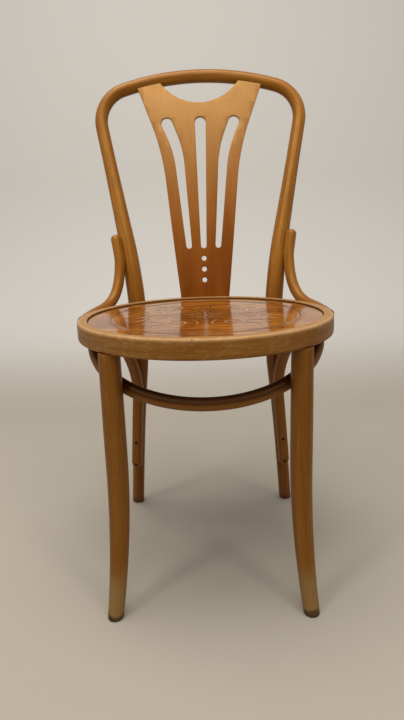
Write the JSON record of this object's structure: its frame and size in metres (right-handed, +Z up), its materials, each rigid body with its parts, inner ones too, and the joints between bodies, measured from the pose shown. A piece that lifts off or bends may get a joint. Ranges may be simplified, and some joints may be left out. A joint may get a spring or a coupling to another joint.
{
  "type": "bentwood bistro chair",
  "caption": "Bentwood side chair with a round plywood seat, a hoop back with a pierced fan splat, bent side brackets and a bow under the seat.",
  "frame": {"origin": "on the floor, at the middle of the whole chair's plan", "axes": "+Z up, -Y towards the chair's front, +X to the right when the chair is looked at from its front"},
  "size_m": [0.45, 0.5078, 0.8965],
  "materials": {
    "bent_beech": "glossy",
    "leg_beech": "glossy",
    "ring_beech": "satin",
    "dark_beech": "satin",
    "splat_plywood": "glossy",
    "seat_plywood": "glossy",
    "raw_beech": "matte",
    "plated_steel": "satin",
    "aged_steel": "satin"
  },
  "bodies": {
    "root": {"back_frame": "bent_beech", "arm_bracket_left": "bent_beech", "arm_bracket_right": "bent_beech", "rear_bracket_left": "bent_beech", "rear_bracket_right": "bent_beech", "front_leg_left": "leg_beech", "front_leg_right": "leg_beech", "seat_ring": "ring_beech", "front_bow": "dark_beech", "back_splat": "splat_plywood", "seat_panel": "seat_plywood", "corner_block_left": "raw_beech", "corner_block_right": "raw_beech", "back_bolts": "plated_steel", "back_bolt_washers": "plated_steel", "back_bolt_nuts": "plated_steel", "arm_post_screws": "aged_steel", "arm_ring_screws": "aged_steel", "bow_leg_screws": "aged_steel", "bow_ring_screws": "aged_steel", "bracket_leg_screws": "aged_steel", "bracket_ring_screws": "aged_steel", "splat_screws": "aged_steel"}
  },
  "joints": []
}
